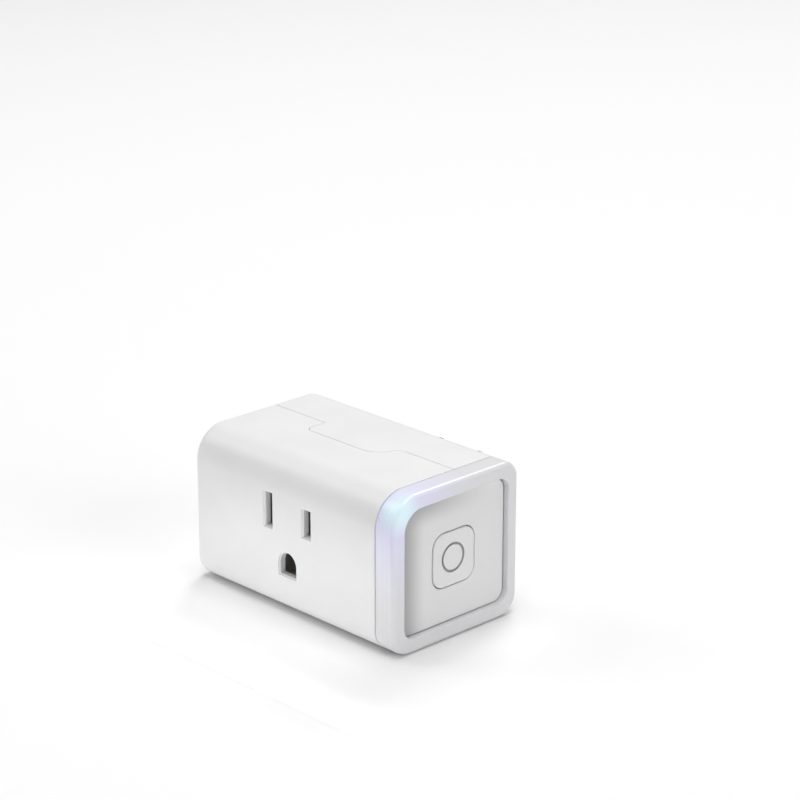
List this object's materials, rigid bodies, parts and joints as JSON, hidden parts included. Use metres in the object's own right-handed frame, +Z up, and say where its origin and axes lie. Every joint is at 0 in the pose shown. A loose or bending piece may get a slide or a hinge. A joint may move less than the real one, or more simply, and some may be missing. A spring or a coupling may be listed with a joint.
{
  "type": "smart plug",
  "caption": "Compact plug-in switched outlet: white rounded casing with a three-hole outlet in front, blades behind, and a frosted light ring round a push button at one end.",
  "frame": {"origin": "on the rear face, midway between the two flat blades", "axes": "+X towards the button end, +Y out of the rear face along the blades, +Z up"},
  "size_m": [0.0663, 0.0596, 0.037],
  "materials": {
    "white_shell": "satin injection-moulded polycarbonate",
    "frosted_ring": "frosted translucent light guide",
    "grey_panel": "fine matte moulding",
    "button_cap": "fine matte moulding, dished",
    "black_plastic": "moulded",
    "ivory_plastic": "moulded insulator",
    "circuit_board": "glass-epoxy board with solder mask",
    "radio_board": "glass-epoxy board with dark solder mask",
    "tinned_steel": "tinned sheet",
    "nickel_blade": "nickel-plated brass",
    "spring_brass": "stamped spring brass",
    "tinned_brass": "tin-plated spring brass",
    "copper_bar": "copper strip",
    "copper_wire": "enamelled winding",
    "relay_iron": "zinc-plated soft iron",
    "screw_steel": "zinc-plated",
    "lamp_resin": "clear resin over the lamp",
    "blue_sleeve": "printed shrink sleeve over an aluminium can",
    "yellow_case": "epoxy-filled box",
    "blue_epoxy": "dipped epoxy"
  },
  "bodies": {
    "casing": {"front_housing": "white_shell", "rear_cover": "white_shell", "light_ring": "frosted_ring", "end_panel": "grey_panel", "switch_body": "black_plastic", "switch_dome": "tinned_steel", "side_board": "circuit_board", "status_leds": "lamp_resin", "wifi_board": "radio_board", "wifi_shield": "tinned_steel", "header_strip": "black_plastic", "header_pins": "spring_brass", "main_board": "circuit_board", "board_screws": "screw_steel", "contact_carrier": "ivory_plastic", "line_contact": "tinned_brass", "neutral_contact": "tinned_brass", "ground_contact": "tinned_brass", "line_blade": "nickel_blade", "neutral_blade": "nickel_blade", "ground_pin": "nickel_blade", "line_bus": "copper_bar", "load_bus": "copper_bar", "neutral_bus": "copper_bar", "ground_bus": "copper_bar", "relay_base": "black_plastic", "relay_cover": "black_plastic", "relay_bobbin": "ivory_plastic", "relay_coil": "copper_wire", "relay_core": "relay_iron", "relay_yoke": "relay_iron", "relay_fixed_contact": "spring_brass", "bulk_capacitors": "blue_sleeve", "film_capacitor": "yellow_case", "varistor": "blue_epoxy", "fuse": "ivory_plastic", "inductor": "copper_wire", "bridge_rectifier": "black_plastic", "control_chips": "black_plastic"},
    "button": {"button": "button_cap"},
    "plunger": {"switch_plunger": "black_plastic"},
    "armature": {"relay_armature": "relay_iron", "relay_moving_contact": "spring_brass"}
  },
  "joints": [
    {"name": "button_press", "type": "slide", "parent": "casing", "child": "button", "axis": [-1, 0, 0], "range_m": [0, 0.0004], "stiffness_N_per_m": 3500, "springref_m": -0.0002},
    {"name": "plunger_press", "type": "slide", "parent": "casing", "child": "plunger", "axis": [-1, 0, 0], "range_m": [0, 0.0004]},
    {"name": "armature_pull", "type": "hinge", "parent": "casing", "child": "armature", "pos_m": [-0.017, -0.017, 0.0053], "axis": [0, -1, 0], "range_deg": [0, 4], "stiffness_Nm_per_rad": 0.03, "springref_deg": -8.59}
  ],
  "couplings": [
    {"joint": "plunger_press", "follows": "button_press", "ratio": 1}
  ]
}
